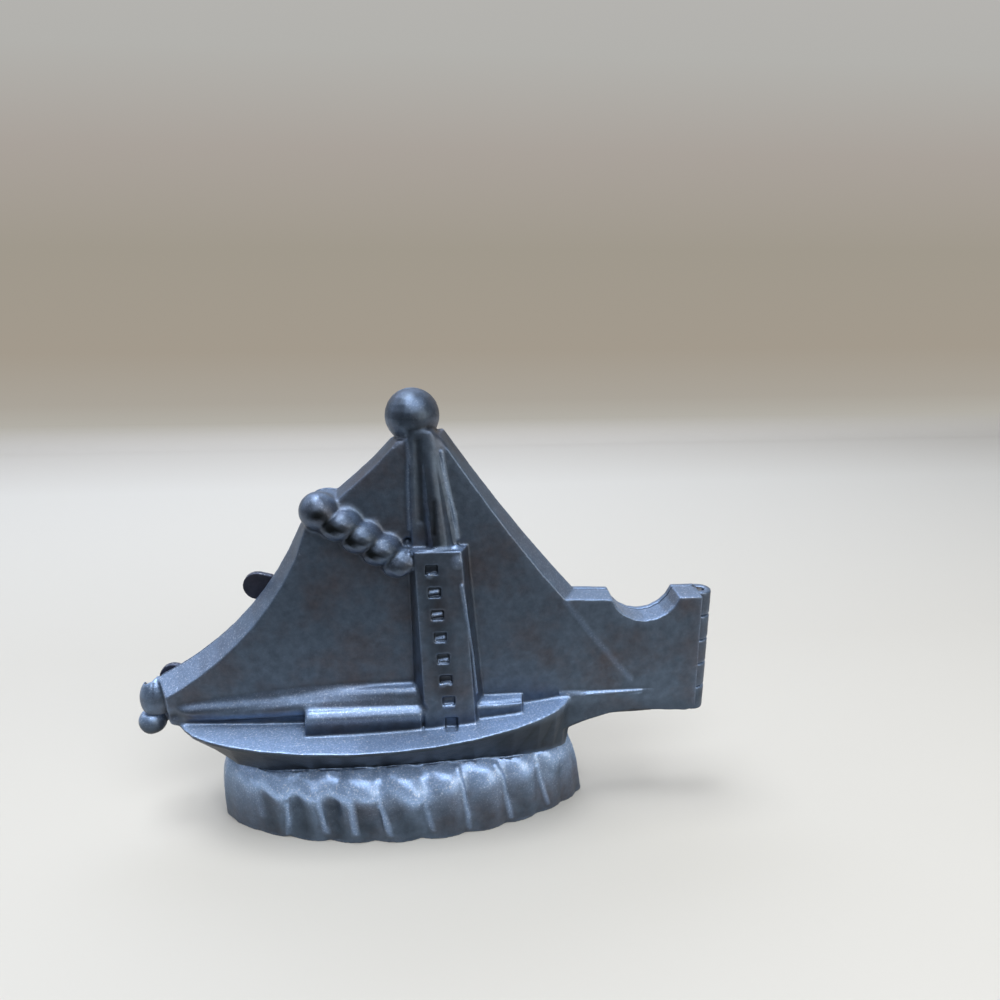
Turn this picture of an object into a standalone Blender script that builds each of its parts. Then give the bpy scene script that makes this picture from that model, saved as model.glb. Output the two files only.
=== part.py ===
"""Hinged two-part cast chocolate mould shaped as a sailing boat on waves.

The mould stands on its wavy base. X runs along the boat towards the hinge, the back half
lies at +Y and the front half at -Y of the parting plane, and Z is up. Sizes are in
millimetres and places on the relief are given as (x, depth, z), where depth is measured
away from the parting plane; every mesh is made in metres.
"""
import itertools
import math

import bmesh
import bpy
from mathutils import Matrix, Vector

MM = 0.001
FRONT = -1
BACK = 1

# Casting
WALL = 2.6
PARTING_GAP = 0.3
SEAT_GAP = 0.3
RIM_WIDTH = 4.2
CAVITY_DRAFT = 0.4
PLATE_DEPTH = 6.5
PLATE_TILT = 0.026
PLATE_TILT_Z = 40.0
FLANGE_DEPTH = 1.8
FLANGE_WIDTH = 3.2
FLANGE_DRAFT = 0.3
RELIEF_DRAFT = 1.4
OVERLAP = 1.5
STAGGER = 0.02
BEYOND = 40.0
WELD_DISTANCE = 0.02
SHARP_DEGREES = 35.0
GENTLE_TURN = 0.3

# Sail and flange outline, corner by corner, with the draft of each edge
HEAD_LEFT = (0.95, 91.2)
HEAD_RIGHT = (12.65, 93.0)
BOOM_TOP = (-11.3, 80.3)
BOOM_FOOT = (-19.85, 72.0)
BOW_TOP = (-54.5, 36.4)
BOW_FOOT = (-53.9, 26.8)
BOW_HEEL = (-44.0, 25.2)
STERN_CORNER = (60.6, 31.0)
STERN_HEEL = (56.0, 24.0)
TAIL_SHOULDER = (42.35, 54.6)
TAIL_ROOT = (40.5, 20.2)
TAIL_HEEL = (56.0, 24.6)
TAIL_FOOT_Z = 23.7
TAIL_TOP_Z = 54.2
TAIL_CORNER_RADIUS = 2.6
LUFF_RISE = 0.5
LEECH_RISE = 4.4
STAY_RISE = 0.8
TAIL_RISE = 0.9
BOOM_BULGE_CENTRE = (-13.2, 75.0)
BOOM_BULGE_RADIUS = 5.45
BOOM_BULGE_TURNS = (68.0, 190.0)
NOTCH_CENTRE_X = 58.1
NOTCH_RADIUS = 8.2
NOTCH_DEPTH = 5.5
LUFF_DRAFT = 1.2
LEECH_DRAFTS = (2.4, 3.6)
STAY_DRAFTS = (2.5, 1.3)
BOW_DRAFT = 3.6
TAIL_DRAFT = 0.2
HEEL_DRAFT = 1.2

# Masthead ball, mast, boom and ladder
BALL_CENTRE = (5.85, 0.0, 96.1)
BALL_RADIUS = 6.0
MAST_TOP = (7.7, 93.6)
MAST_FOOT = (10.15, 66.5)
MAST_TOP_WIDTH = 6.0
MAST_FOOT_WIDTH = 11.1
MAST_PANEL_RISE = 0.7
MAST_PANEL_DRAFT = 0.5
MAST_CONE_SHIFT = 1.3
MAST_CONE_SHARE = 0.56
MAST_CONE_RISES = (0.6, 3.3)
BOOM_BALL = (-14.6, 76.6)
BOOM_BALL_DEPTHS = {FRONT: 5.0, BACK: 3.0}
BOOM_BALL_RADII = {FRONT: 4.4, BACK: 3.0}
BEAD_RADII = {FRONT: 4.1, BACK: 3.2}
BEAD_WAIST = 0.72
BEAD_ROUNDNESS = 0.6
BEAD_STEPS = 6
BEAD_LEAN = 14.0
BEAD_DEPTH = 6.2
BEAD_FIRST = (-10.0, 73.6)
BEAD_LAST = (2.5, 64.8)
BEAD_COUNT = 4
LADDER_TOP_Z = 68.2
LADDER_TOP = (4.15, 17.2)
LADDER_FOOT = (4.6, 21.0)
LADDER_DRAFT_TOP = 1.5
LADDER_DRAFT_FOOT = 2.4
LADDER_DEPTH_TOP = 9.8
LADDER_DEPTH_FOOT = 11.4
LADDER_REACH_Z = 24.0
WINDOW_COUNT = 8
WINDOW_TOP = (9.2, 64.1)
WINDOW_FOOT = (12.8, 27.6)
WINDOW_WIDTH = 2.8
WINDOW_HEIGHT = 2.3
WINDOW_DEPTH = 0.9
FOOT_WINDOW_DROP = 0.5

# Hull
DECK_LOW_Z = 26.4
DECK_LOW_X = -12.0
DECK_BOW_RISE = 1.7
DECK_STERN_RISE = 4.0
DECK_STERN_CURVE = 2.0
DECK_CAMBER = 0.15
BEAM_DEPTH = 17.6
BEAM_X = -2.0
LEAST_DEPTH = 1.0
DECK_LEDGE = 0.4
BOW_FULLNESS = 0.5
STERN_FULLNESS = 0.5
HULL_BOW_X = -48.6
RIM_BOW_X = -47.6
RIM_STERN_X = 40.2
HULL_STERN_X = 60.8
HULL_SINK = 1.1
HULL_FOOT_SHARE = 0.56
FLARE_WALLS = 2.2
STERN_FOOT_SHARE = 0.9
HULL_BOW_FOOT_Z = 27.6
HULL_BOW_RAKE = 15.5
HULL_BOW_CURVE = 1.3
STERN_FOOT_Z = 24.9
STERN_RAKE_X = 41.0
STERN_STEEPNESS = 0.4
STERN_LEDGE = 0.5
STERN_LEDGE_FADE = 15.0
RUBBING_STRAKE = 0.9
STRAKE_SLOPE = 0.3
OUTER_STATIONS = [HULL_BOW_X, -47.0, -44.5, -41.0, -36.0, -29.0, -20.0, -10.0, 0.0, 9.0, 18.0,
                  27.0, 33.0, 37.0, 39.4, STERN_RAKE_X - STERN_STEEPNESS, STERN_RAKE_X + STERN_STEEPNESS,
                  47.0, 53.0, HULL_STERN_X]
INNER_STATIONS = [-41.5, -38.0, -32.0, -22.0, -10.0, 2.0, 13.0, 24.0, 32.0, 37.5]

# Passage between the hollows of sail and hull: low and high corner, as (x, z)
TRUNK_LOW = (-36.0, 21.5)
TRUNK_HIGH = (34.0, 31.0)

# Rails and deck blocks: (bow x, stern x), depth and heights
RAIL_X = (-47.4, 6.0)
RAIL_CENTRE_Z = (30.2, 32.0)
RAIL_HALF_HEIGHT = (1.7, 3.5)
RAIL_RISE = (0.7, 3.0)
RAIL_SHEER = 1.1
RAIL_LOW_SHARE = 0.4
RAIL_SWELL = 0.6
RAIL_STEPS = 6
COAMING_X = (-20.4, 6.6)
COAMING_TOP_Z = 31.1
COAMING_DEPTH = 11.3
TRANSOM_X = (18.6, 29.6)
TRANSOM_TOP_Z = 31.1
TRANSOM_DEPTH = 10.0
BLOCK_DRAFT = 0.5

# Waves of the base: half plans at rising heights; the hull sinks into their top
WAVE_BOW_X = -42.4
WAVE_STERN_X = 43.6
WAVE_DEPTH = 16.4
WAVE_HEIGHT = 16.9
WAVE_LOBES = 13
WAVE_SLANT = 0.9
WAVE_BOW_FULLNESS = 0.56
WAVE_STERN_FULLNESS = 0.72
WAVE_STERN_FLARE = 2.6
WAVE_FLARE_SHARE = 0.85
WAVE_TUCK = 6.0
LOBE_ROUNDNESS = 0.6
LOBE_HOLLOW = 0.7
HULL_FOOT_Z = WAVE_HEIGHT - HULL_SINK

# Levels of the waves: height, share of the full plan and how far the lobes stand out
OUTER_WAVES = [(0.0, 0.965, 1.2), (3.2, 1.0, 1.6), (8.4, 0.99, 1.9), (11.8, 0.94, 2.0),
               (14.4, 0.84, 1.7), (WAVE_HEIGHT, 0.64, 0.6)]
INNER_WAVES = [(-2.0, 0.965, 1.0), (3.2, 1.0, 1.3), (9.0, 0.97, 1.3), (13.2, 0.78, 0.6),
               (WAVE_HEIGHT + 2.0, 0.62, 0.2)]

# Hinge at the tail and pin lugs at the bow
HINGE_X = 72.4
KNUCKLE_RADIUS = 3.0
KNUCKLE_COUNT = 5
WEB_DEPTH = 2.95
HINGE_FOOT_Z = 22.4
HINGE_TOP_Z = 53.7
TAIL_EDGE_X = 71.6
PIN_RADIUS = 1.0
PIN_ROUNDING = 0.3
PIN_RIM_DEGREES = 60.0
PIN_CLEARANCE = 0.3
PIN_TOP_SINK = 0.3
HINGE_PIN_FOOT_SINK = 0.5
BOW_PIN_FOOT_SINK = 0.8
SWING_CLEARANCE = 0.35
BOW_PIN_X = -56.1
BOW_LUG_CENTRE = (-55.0, 0.0, 31.0)
BOW_LUG_RADII = (3.9, 3.3, 5.4)
BOW_LUG_JOINT_Z = 27.6
BOW_PIN_TOP_Z = 34.6
BOW_BALL_X = -56.7
BOW_BALL_RADIUS = 3.2
BOW_BALL_FOOT_Z = 21.9
BOW_ARM_DEPTH = 2.8
BOW_LUG_BACK_DEPTH = 1.8

# Pry tabs soldered behind the back half: centre of the round end, its direction and the
# length of the straight part
TAB_THICKNESS = 1.6
UPPER_TAB_CENTRE = (-30.6, 56.9)
UPPER_TAB_DEGREES = 171.0
UPPER_TAB_LENGTH = 3.3
LOWER_TAB_CENTRE = (-51.6, 34.8)
LOWER_TAB_DEGREES = 125.0
LOWER_TAB_LENGTH = 0.4
TAB_RADIUS = 3.3
TAB_TAPER = 0.12


shape_numbers = itertools.count()


def clear_scene():
    for item in list(bpy.data.objects):
        bpy.data.objects.remove(item, do_unlink=True)


def pewter(name, colour, roughness):
    """Cast metal with the given base colour and roughness."""
    material = bpy.data.materials.new(name)
    material.use_nodes = True
    shader = material.node_tree.nodes["Principled BSDF"]
    shader.inputs["Base Color"].default_value = (*colour, 1.0)
    shader.inputs["Roughness"].default_value = roughness
    shader.inputs["Metallic"].default_value = 0.9
    return material


def place(point, side):
    """World position in metres of a relief point (x, depth, z) on one side."""
    x, depth, z = point
    return Vector((x, depth * side, z)) * MM


def add_object(name, bm, rounded=False):
    """Object made of a bmesh's triangles under the centring empty, smooth if rounded."""
    bmesh.ops.recalc_face_normals(bm, faces=bm.faces)
    bmesh.ops.triangulate(bm, faces=bm.faces)
    mesh = bpy.data.meshes.new(name)
    bm.to_mesh(mesh)
    bm.free()
    if rounded:
        mesh.shade_smooth()
        mesh.set_sharp_from_angle(angle=math.radians(SHARP_DEGREES))
    result = bpy.data.objects.new(name, mesh)
    bpy.context.scene.collection.objects.link(result)
    result.parent = frame
    return result


def as_tool(item):
    """Marks a shape that only adds to or cuts another one."""
    item.hide_render = True
    item.display_type = "WIRE"
    return item


def combine(target, tools, operation):
    """Unites or cuts a target with each tool in turn."""
    for tool in tools:
        step = target.modifiers.new(tool.name, "BOOLEAN")
        step.operation = operation
        step.solver = "MANIFOLD"
        step.object = as_tool(tool)


def loft(name, rings, side, rounded=False):
    """Closed body through rings of equally many points, capped at both ends."""
    bm = bmesh.new()
    face = bm.faces.new([bm.verts.new(place(point, side)) for point in rings[0]])
    for ring in rings[1:]:
        face = bmesh.ops.extrude_discrete_faces(bm, faces=[face])["faces"][0]
        for vert, point in zip(face.verts, ring):
            vert.co = place(point, side)
    open_edges = [edge for edge in bm.edges if edge.is_boundary]
    bmesh.ops.holes_fill(bm, edges=open_edges, sides=0)
    return add_object(name, bm, rounded)


def ball(name, centre, radius, side, segments=20):
    """Sphere about a relief point."""
    bm = bmesh.new()
    at = Matrix.Translation(place(centre, side))
    half = segments // 2
    bmesh.ops.create_uvsphere(bm, u_segments=segments, v_segments=half,
                              radius=radius * MM, matrix=at)
    return add_object(name, bm, True)


def egg(name, centre, radii, side, segments=24):
    """Ellipsoid about a relief point."""
    bm = bmesh.new()
    stretch = Matrix.Diagonal((*radii, 1.0))
    bmesh.ops.create_uvsphere(bm, u_segments=segments, v_segments=segments // 2, radius=MM,
                              matrix=Matrix.Translation(place(centre, side)) @ stretch)
    return add_object(name, bm, True)


def post(name, x, radius, z_low, z_high, segments=24):
    """Upright round post on the parting plane."""
    bm = bmesh.new()
    at = Matrix.Translation(place((x, 0.0, (z_low + z_high) / 2), 1))
    bmesh.ops.create_cone(bm, cap_ends=True, segments=segments, radius1=radius * MM,
                          radius2=radius * MM, depth=(z_high - z_low) * MM, matrix=at)
    return add_object(name, bm, True)


def block(name, low, high, side):
    """Box between two relief corners."""
    (x0, d0, z0), (x1, d1, z1) = low, high
    ring = [(x0, z0), (x1, z0), (x1, z1), (x0, z1)]
    return loft(name, [[(x, depth, z) for x, z in ring] for depth in (d0, d1)], side)


def past_parting():
    """Depth behind the parting plane, a little further for each shape so none coincide."""
    return -OVERLAP - STAGGER * next(shape_numbers)


def bowed(start, end, rise, steps):
    """Points from start towards end, bowed to the left by rise; the end is left out."""
    start, end = Vector(start), Vector(end)
    along = (end - start).normalized()
    left = Vector((-along.y, along.x))
    shares = [step / steps for step in range(steps)]
    return [start.lerp(end, t) + left * (4 * rise * t * (1 - t)) for t in shares]


def round_arc(centre, radius, from_degrees, to_degrees, steps):
    """Points on a circle, both ends included."""
    points = []
    for step in range(steps + 1):
        turn = math.radians(from_degrees + (to_degrees - from_degrees) * step / steps)
        points.append(Vector(centre) + radius * Vector((math.cos(turn), math.sin(turn))))
    return points


def inset(points, distances):
    """Anticlockwise outline with each edge moved inwards by its own distance."""
    edges = []
    for index, start in enumerate(points):
        along = (points[(index + 1) % len(points)] - start).normalized()
        edges.append((along, Vector((-along.y, along.x)), distances[index]))
    moved = []
    for index, corner in enumerate(points):
        before, before_inward, before_by = edges[index - 1]
        along, inward, by = edges[index]
        turn = before.cross(along)
        if abs(turn) < GENTLE_TURN:
            moved.append(corner + (before_inward + inward).normalized() * (before_by + by) / 2)
        else:
            slide = (by - before_by * before.dot(along)) / turn
            moved.append(corner + before_inward * before_by - before * slide)
    return moved


class Outline:
    """Anticlockwise outline in x and z, built stretch by stretch with each edge's draft."""

    def __init__(self):
        self.points = []
        self.drafts = []

    def run(self, points, first_draft, last_draft=None):
        last_draft = first_draft if last_draft is None else last_draft
        for index, point in enumerate(points):
            share = index / max(1, len(points) - 1)
            self.points.append(Vector(point))
            self.drafts.append(first_draft + (last_draft - first_draft) * share)

    def inset(self, by=0.0, draft=1.0):
        """Points moved inwards by a fixed distance and a share of each draft."""
        return inset(self.points, [by + draft * value for value in self.drafts])


def add_sail_edges(outline):
    """Masthead, boom bulge and leech down to the bow, shared by sail and plate."""
    outline.run([HEAD_RIGHT], 0.0)
    outline.run(bowed(HEAD_LEFT, BOOM_TOP, LUFF_RISE, 3), LUFF_DRAFT)
    outline.run(round_arc(BOOM_BULGE_CENTRE, BOOM_BULGE_RADIUS, *BOOM_BULGE_TURNS, 7),
                LUFF_DRAFT)
    outline.run(bowed(BOOM_FOOT, BOW_TOP, LEECH_RISE, 9), *LEECH_DRAFTS)


def sail_outline():
    """The boat's own outline above the hull, without the hinge tail."""
    outline = Outline()
    add_sail_edges(outline)
    outline.run([BOW_TOP], BOW_DRAFT)
    outline.run([BOW_FOOT, BOW_HEEL, STERN_HEEL], HEEL_DRAFT)
    outline.run([STERN_CORNER], STAY_DRAFTS[0])
    outline.run(bowed(TAIL_SHOULDER, HEAD_RIGHT, STAY_RISE, 5), *STAY_DRAFTS)
    return outline


def plate_outline():
    """The whole parting plate: sail, bow and the tail that carries the hinge."""
    corner = (TAIL_EDGE_X - TAIL_CORNER_RADIUS, TAIL_FOOT_Z + TAIL_CORNER_RADIUS)
    notch_centre = (NOTCH_CENTRE_X, TAIL_TOP_Z - NOTCH_DEPTH + NOTCH_RADIUS)
    notch_turn = math.degrees(math.asin((NOTCH_RADIUS - NOTCH_DEPTH) / NOTCH_RADIUS))
    outline = Outline()
    add_sail_edges(outline)
    outline.run([BOW_TOP], BOW_DRAFT)
    outline.run([BOW_FOOT, BOW_HEEL], HEEL_DRAFT)
    outline.run(bowed(TAIL_ROOT, TAIL_HEEL, TAIL_RISE, 3), HEEL_DRAFT)
    outline.run([TAIL_HEEL], HEEL_DRAFT)
    outline.run(round_arc(corner, TAIL_CORNER_RADIUS, -90.0, 0.0, 4), HEEL_DRAFT, TAIL_DRAFT)
    outline.run([(TAIL_EDGE_X, TAIL_TOP_Z)], TAIL_DRAFT)
    outline.run(round_arc(notch_centre, NOTCH_RADIUS, -notch_turn, notch_turn - 180.0, 8),
                TAIL_DRAFT)
    outline.run(bowed(TAIL_SHOULDER, HEAD_RIGHT, STAY_RISE, 5), *STAY_DRAFTS)
    return outline


def plate_depth(z):
    """Depth of the sail's face, which leans towards the parting plane higher up."""
    return PLATE_DEPTH - PLATE_TILT * (z - PLATE_TILT_Z)


def at_depth(points, depth):
    return [(point.x, depth, point.y) for point in points]


def on_face(points, skin):
    return [(point.x, plate_depth(point.y) - skin, point.y) for point in points]


def slab(name, outer, face, side):
    """Drafted slab from past the parting plane out to a ring of face points."""
    return loft(name, [at_depth(outer, past_parting()), at_depth(outer, 0.0), face], side)


def deck_z(x):
    """Height of the deck where it meets the sail, rising to bow and stern."""
    if x < DECK_LOW_X:
        return DECK_LOW_Z + DECK_BOW_RISE * ((x - DECK_LOW_X) / (HULL_BOW_X - DECK_LOW_X)) ** 2
    share = (x - DECK_LOW_X) / (RIM_STERN_X - DECK_LOW_X)
    return DECK_LOW_Z + DECK_STERN_RISE * share ** DECK_STERN_CURVE


def rim_depth(x):
    """How far the deck's edge stands out from the parting plane."""
    flush = plate_depth(DECK_LOW_Z)
    if x < BEAM_X:
        share = (x - BEAM_X) / (RIM_BOW_X - BEAM_X)
        return flush + (BEAM_DEPTH - flush) * max(0.0, 1.0 - share * share) ** BOW_FULLNESS
    share = (x - BEAM_X) / (RIM_STERN_X - BEAM_X)
    swell = max(0.0, 1.0 - share * share) ** STERN_FULLNESS
    ledge = STERN_LEDGE * max(0.0, min(1.0, (HULL_STERN_X - x) / STERN_LEDGE_FADE))
    return flush + ledge + (BEAM_DEPTH - flush - STERN_LEDGE) * swell


def hull_foot_z(x):
    """Lower edge of the hull on the parting plane."""
    if x > STERN_RAKE_X:
        return STERN_FOOT_Z
    bow = max(0.0, (HULL_BOW_X + HULL_BOW_RAKE - x) / HULL_BOW_RAKE)
    return HULL_FOOT_Z + (HULL_BOW_FOOT_Z - HULL_FOOT_Z) * bow ** HULL_BOW_CURVE


def hull_section(x, skin, behind):
    """Section of the hull across x, moved inwards by skin, and further at the flared side."""
    top = min(deck_z(x), STERN_CORNER[1]) - skin
    depth = max(rim_depth(x) - FLARE_WALLS * skin, LEAST_DEPTH)
    inner = min(PLATE_DEPTH - skin, depth - DECK_LEDGE)
    edge = top - DECK_CAMBER * (depth - inner)
    foot = min(hull_foot_z(x), edge - 2.0 * RUBBING_STRAKE)
    foot_depth = depth * (HULL_FOOT_SHARE if x < STERN_RAKE_X else STERN_FOOT_SHARE)
    return [(x, behind, top), (x, inner, top), (x, depth, edge),
            (x, depth - STRAKE_SLOPE * RUBBING_STRAKE, edge - RUBBING_STRAKE),
            (x, foot_depth, foot), (x, behind, foot)]


def hull(name, side, skin, stations):
    behind = past_parting()
    return loft(name, [hull_section(x, skin, behind) for x in stations], side)


def wave_ring(z, swell, lobe_rise, skin, steps, behind):
    """Half plan of the waves at a height, with lobes round the outside."""
    share = z / WAVE_HEIGHT
    tuck = (1.0 - swell) * WAVE_TUCK
    flare = WAVE_STERN_FLARE * max(0.0, WAVE_FLARE_SHARE - share)
    bow_x = WAVE_BOW_X + skin + tuck
    stern_x = WAVE_STERN_X + flare - skin - tuck
    centre, reach = (bow_x + stern_x) / 2, (stern_x - bow_x) / 2
    depth = WAVE_DEPTH * swell - skin
    ring = [(stern_x, behind, z)]
    for step in range(steps + 1):
        turn = math.pi * step / steps
        across, along = abs(math.sin(turn)), math.cos(turn)
        fullness = WAVE_STERN_FULLNESS if along > 0.0 else WAVE_BOW_FULLNESS
        phase = WAVE_LOBES * (turn - math.pi / 2) + WAVE_SLANT * (share - 0.5)
        lobe = abs(math.cos(phase)) ** LOBE_ROUNDNESS - LOBE_HOLLOW
        rise = lobe_rise * lobe * math.sqrt(across)
        ring.append((centre + (reach + rise * along) * along,
                     depth * across ** (2 * fullness) + rise * across, z))
    ring.append((bow_x, behind, z))
    return ring


def waves(name, side, skin, steps, levels):
    """Lobed half base through levels of (height, swell, lobe rise)."""
    behind = past_parting()
    rings = [wave_ring(z, swell, rise, skin, steps, behind) for z, swell, rise in levels]
    return loft(name, rings, side, True)


def mast_ends():
    """Middle (x, z), width and spar rise at the mast's top and foot."""
    return ((MAST_TOP, MAST_TOP_WIDTH, MAST_CONE_RISES[0]),
            (MAST_FOOT, MAST_FOOT_WIDTH, MAST_CONE_RISES[1]))


def mast_panel(name, side):
    """Tapered flat panel behind the spar."""
    behind = past_parting()
    rings = []
    for (x, z), width, _ in mast_ends():
        half, base = width / 2, plate_depth(z) - MAST_PANEL_DRAFT
        depth = base + MAST_PANEL_DRAFT + MAST_PANEL_RISE
        rings.append([(x - half, behind, z), (x - half, base, z),
                      (x - half + MAST_PANEL_DRAFT, depth, z),
                      (x + half - MAST_PANEL_DRAFT, depth, z),
                      (x + half, base, z), (x + half, behind, z)])
    return loft(name, rings, side)


def mast_spar(name, side, skin):
    """Rounded tapered spar standing off the panel, a little towards the stern."""
    behind = past_parting()
    rings = []
    reach = SEAT_GAP
    for (x, z), width, rise in mast_ends():
        z += reach
        reach = -reach
        middle = x + MAST_CONE_SHIFT * width / MAST_FOOT_WIDTH
        spread = (width - skin) / 2 * MAST_CONE_SHARE
        base = plate_depth(z) - skin
        ring = [(middle + spread, behind, z)]
        for point in round_arc((0.0, 0.0), 1.0, 0.0, 180.0, 6):
            ring.append((middle + spread * point.x, base + rise * point.y, z))
        ring.append((middle - spread, behind, z))
        rings.append(ring)
    return loft(name, rings, side, True)


def boom(name, side, skin, segments):
    """Ball with a beaded boom that runs down to the ladder, its beads leaning aft."""
    x, z = BOOM_BALL
    centre = (x, BOOM_BALL_DEPTHS[side] - skin, z)
    end = ball(name + "_ball", centre, BOOM_BALL_RADII[side] - skin / 2, side, segments)
    first, last = Vector(BEAD_FIRST), Vector(BEAD_LAST)
    pitch = (last - first) / (BEAD_COUNT - 1)
    along = pitch.normalized()
    across = Vector((-along.y, along.x))
    lean = along * math.tan(math.radians(BEAD_LEAN))
    rings = []
    for step in range(BEAD_COUNT * BEAD_STEPS + 1):
        share = step / BEAD_STEPS
        waist = abs(math.sin(math.pi * share)) ** BEAD_ROUNDNESS
        radius = BEAD_RADII[side] * (BEAD_WAIST + (1.0 - BEAD_WAIST) * waist) - skin / 2
        spot = first + pitch * (share - 0.5)
        ring = []
        for point in round_arc((0.0, 0.0), radius, 0.0, 360.0, segments)[:-1]:
            place_on_row = spot + (across + lean) * point.y
            ring.append((place_on_row.x, BEAD_DEPTH - skin + point.x, place_on_row.y))
        rings.append(ring)
    return [end, loft(name + "_beads", rings, side, True)]


def ladder(name, side, skin):
    """Tall drafted slab in front of the mast, standing on the deck."""
    rows = ((LADDER_TOP_Z - skin, LADDER_TOP, LADDER_DRAFT_TOP, LADDER_DEPTH_TOP - skin),
            (LADDER_REACH_Z, LADDER_FOOT, LADDER_DRAFT_FOOT, LADDER_DEPTH_FOOT - skin))
    rings = []
    behind = past_parting()
    for z, (left, right), draft, depth in rows:
        base = plate_depth(z) - skin
        rings.append([(left + skin, behind, z), (left + skin, base, z),
                      (left + skin + draft, depth, z), (right - skin - draft, depth, z),
                      (right - skin, base, z), (right - skin, behind, z)])
    return loft(name, rings, side)


def ladder_windows(name, side):
    """Square recesses down the ladder's face, the lowest open at its foot."""
    top, foot = Vector(WINDOW_TOP), Vector(WINDOW_FOOT)
    shapes = []
    for index in range(WINDOW_COUNT):
        share = index / (WINDOW_COUNT - 1)
        spot = top.lerp(foot, share)
        down = (LADDER_TOP_Z - spot.y) / (LADDER_TOP_Z - LADDER_REACH_Z)
        face = LADDER_DEPTH_TOP + (LADDER_DEPTH_FOOT - LADDER_DEPTH_TOP) * down
        drop = FOOT_WINDOW_DROP if index == WINDOW_COUNT - 1 else 0.0
        low = (spot.x - WINDOW_WIDTH / 2, face - WINDOW_DEPTH,
               spot.y - WINDOW_HEIGHT / 2 - drop)
        high = (spot.x + WINDOW_WIDTH / 2, face + OVERLAP, spot.y + WINDOW_HEIGHT / 2)
        shapes.append(block(f"{name}_{index + 1}", low, high, side))
    return shapes


def rail(name, side):
    """Half-round bulwark that swells from the bow to the ladder."""
    rings = []
    behind = past_parting()
    for step in range(RAIL_STEPS + 1):
        share = step / RAIL_STEPS
        x = RAIL_X[0] + (RAIL_X[1] - RAIL_X[0]) * share
        z = RAIL_CENTRE_Z[0] + (RAIL_CENTRE_Z[1] - RAIL_CENTRE_Z[0]) * share
        z += RAIL_SHEER * 4 * share * (1 - share) * (share - RAIL_LOW_SHARE)
        half = RAIL_HALF_HEIGHT[0] + (RAIL_HALF_HEIGHT[1] - RAIL_HALF_HEIGHT[0]) * share
        rise = RAIL_RISE[0] + (RAIL_RISE[1] - RAIL_RISE[0]) * share ** RAIL_SWELL
        ring = [(x, behind, z - half)]
        for point in round_arc((0.0, 0.0), 1.0, -90.0, 90.0, 6):
            ring.append((x, plate_depth(z) + rise * point.x, z + half * point.y))
        ring.append((x, behind, z + half))
        rings.append(ring)
    return loft(name, rings, side, True)


def deck_block(name, side, span, top_z, depth):
    """Drafted block standing on the deck against the sail."""
    low_z = DECK_LOW_Z - WALL
    base = [(span[0], low_z), (span[1], low_z), (span[1], top_z + BLOCK_DRAFT),
            (span[0], top_z + BLOCK_DRAFT)]
    face = [(span[0] + BLOCK_DRAFT, low_z), (span[1] - BLOCK_DRAFT, low_z),
            (span[1] - BLOCK_DRAFT, top_z), (span[0] + BLOCK_DRAFT, top_z)]
    behind = past_parting()
    rings = [[(x, behind, z) for x, z in base],
             [(x, PLATE_DEPTH - OVERLAP, z) for x, z in base],
             [(x, depth, z) for x, z in face]]
    return loft(name, rings, side)


def relief(name, side):
    """Everything that stands off the plate on one side, as overlapping shapes."""
    shapes = [hull(name + "_hull", side, 0.0, OUTER_STATIONS)]
    shapes.append(waves(name + "_waves", side, 0.0, 78, OUTER_WAVES))
    shapes.append(ball(name + "_ball", BALL_CENTRE, BALL_RADIUS, side, 24))
    shapes.append(mast_panel(name + "_panel", side))
    shapes.append(mast_spar(name + "_spar", side, 0.0))
    shapes += boom(name + "_boom", side, 0.0, 14)
    shapes.append(rail(name + "_rail", side))
    shapes.append(deck_block(name + "_coaming", side, COAMING_X, COAMING_TOP_Z,
                             COAMING_DEPTH))
    shapes.append(deck_block(name + "_transom", side, TRANSOM_X, TRANSOM_TOP_Z,
                             TRANSOM_DEPTH))
    shapes.append(ladder(name + "_ladder", side, 0.0))
    return shapes


def cavity(name, side):
    """The boat-shaped hollow of one half, as overlapping shapes."""
    sail = sail_outline()
    mouth = sail.inset(RIM_WIDTH, 0.0)
    floor = sail.inset(RIM_WIDTH, CAVITY_DRAFT)
    shapes = [slab(name + "_sail", mouth, on_face(floor, WALL), side)]
    low = (TRUNK_LOW[0], past_parting(), TRUNK_LOW[1])
    high = (TRUNK_HIGH[0], PLATE_DEPTH - WALL, TRUNK_HIGH[1])
    shapes.append(block(name + "_trunk", low, high, side))
    shapes.append(hull(name + "_hull", side, WALL, INNER_STATIONS))
    shapes.append(waves(name + "_waves", side, WALL, 52, INNER_WAVES))
    shapes.append(ball(name + "_ball", BALL_CENTRE, BALL_RADIUS - WALL, side, 16))
    shapes.append(mast_spar(name + "_spar", side, WALL))
    shapes += boom(name + "_boom", side, WALL, 10)
    shapes.append(ladder(name + "_ladder", side, WALL))
    return shapes


def knuckle_spans(first):
    """Heights of every second hinge knuckle, starting from the bottom."""
    pitch = (HINGE_TOP_Z - HINGE_FOOT_Z) / KNUCKLE_COUNT
    return [(HINGE_FOOT_Z + pitch * index + SEAT_GAP / 2,
             HINGE_FOOT_Z + pitch * (index + 1) - SEAT_GAP / 2)
            for index in range(first, KNUCKLE_COUNT, 2)]


def knuckles(name, first, side):
    """Hinge barrels of one half with the webs that tie them to its tail."""
    shapes = []
    for number, (low, high) in enumerate(knuckle_spans(first), 1):
        shapes.append(post(f"{name}_barrel_{number}", HINGE_X, KNUCKLE_RADIUS, low, high))
        shapes.append(block(f"{name}_web_{number}", (TAIL_EDGE_X - 2 * OVERLAP, 0.0, low),
                            (HINGE_X, WEB_DEPTH, high), side))
    return shapes


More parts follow.
